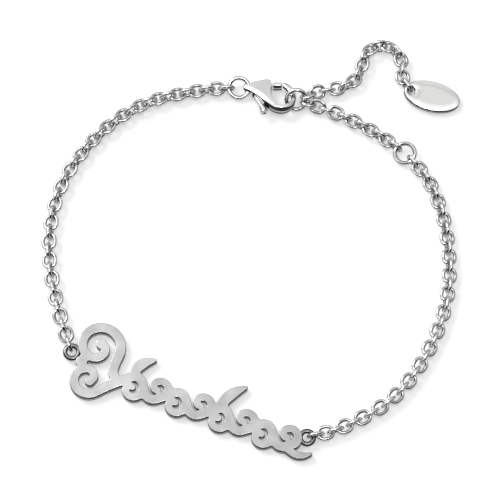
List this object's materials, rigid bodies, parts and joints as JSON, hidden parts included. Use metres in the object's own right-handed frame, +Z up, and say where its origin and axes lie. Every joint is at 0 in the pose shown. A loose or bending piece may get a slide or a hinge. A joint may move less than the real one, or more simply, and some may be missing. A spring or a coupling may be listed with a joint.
{
  "type": "chain bracelet with an openwork plate",
  "caption": "Fine cable-chain bracelet with a flat openwork scroll plate, a lobster clasp, jump rings and an extension chain that ends in a plain oval tag.",
  "frame": {"origin": "on the table, under the middle of the bracelet as it lies in an open loop", "axes": "+Z up from the table through the wrist loop; +Y from the plate towards the clasp; +X towards the side with the sizing ring and the tag"},
  "size_m": [0.0675, 0.0712, 0.0029],
  "materials": {
    "silver": "polished",
    "brushed_silver": "satin"
  },
  "bodies": {
    "bracelet": {"name_plate": "silver", "left_chain": "silver", "right_chain_upper": "silver", "right_chain_lower": "silver", "extender_chain": "silver", "clasp_ring": "silver", "end_ring": "silver", "sizing_ring": "silver", "clasp_body": "silver", "clasp_pin": "silver", "end_tag": "brushed_silver"},
    "lever": {"clasp_lever": "silver"}
  },
  "joints": [
    {"name": "clasp_gate", "type": "hinge", "parent": "bracelet", "child": "lever", "pos_m": [0.002, 0.0267, 0.00128], "axis": [0, -0.2079, -0.9781], "range_deg": [0, 22], "stiffness_Nm_per_rad": 0.00002}
  ]
}
